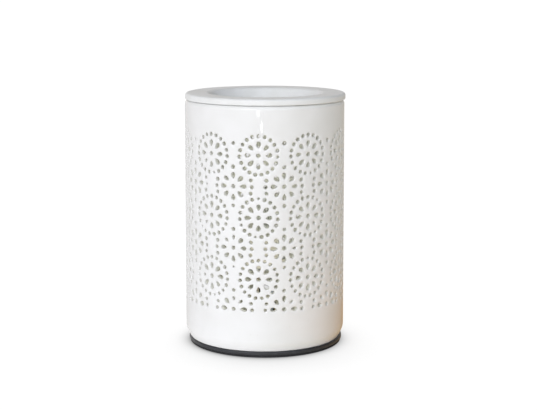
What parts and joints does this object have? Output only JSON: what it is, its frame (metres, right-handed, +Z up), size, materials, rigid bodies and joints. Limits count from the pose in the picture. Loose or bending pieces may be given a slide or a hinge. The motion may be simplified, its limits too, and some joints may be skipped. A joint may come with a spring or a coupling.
{
  "type": "essential oil burner",
  "caption": "Electric essential oil burner: lace-pierced porcelain shade on a black base, loose oil dish on top, plug-in capsule lamp inside.",
  "frame": {"origin": "centre of the underside, where the foot pad meets the table", "axes": "+Z up along the shade's axis, front towards -Y, the cord grommet at the back towards +Y"},
  "size_m": [0.0966, 0.0978, 0.1512],
  "materials": {
    "foam_black": "matt",
    "plastic_black": "satin",
    "porcelain_glazed": "gloss",
    "porcelain_dish": "satin",
    "steel_strip": "zinc plated",
    "fibre": "matt",
    "steel_screw": "zinc plated",
    "porcelain_electric": "satin",
    "bronze": "bright",
    "quartz": "clear",
    "nickel_wire": "bright",
    "tungsten": "dull",
    "polyamide": "satin",
    "brass": "bright",
    "sleeve_brown": "satin",
    "sleeve_blue": "satin",
    "rubber_black": "satin"
  },
  "bodies": {
    "burner": {"foot_pad": "foam_black", "base_plate": "plastic_black", "pierced_shade": "porcelain_glazed", "lamp_bracket": "steel_strip", "bracket_pads": "fibre", "base_screws": "steel_screw", "base_nuts": "steel_screw", "lampholder_body": "porcelain_electric", "lampholder_contacts": "bronze", "lampholder_screws": "steel_screw", "terminal_block": "polyamide", "terminal_barrels": "brass", "terminal_screws": "steel_screw", "lead_live": "sleeve_brown", "lead_neutral": "sleeve_blue", "cord_grommet": "rubber_black"},
    "dish": {"oil_dish": "porcelain_dish"},
    "lamp": {"lamp_envelope": "quartz", "lamp_loops": "nickel_wire", "lamp_filament": "tungsten"}
  },
  "joints": [
    {"name": "dish_lift", "type": "slide", "parent": "burner", "child": "dish", "axis": [0, 0, 1], "range_m": [0, 0.05]},
    {"name": "lamp_pull", "type": "slide", "parent": "burner", "child": "lamp", "axis": [0, 0, 1], "range_m": [0, 0.025]}
  ]
}
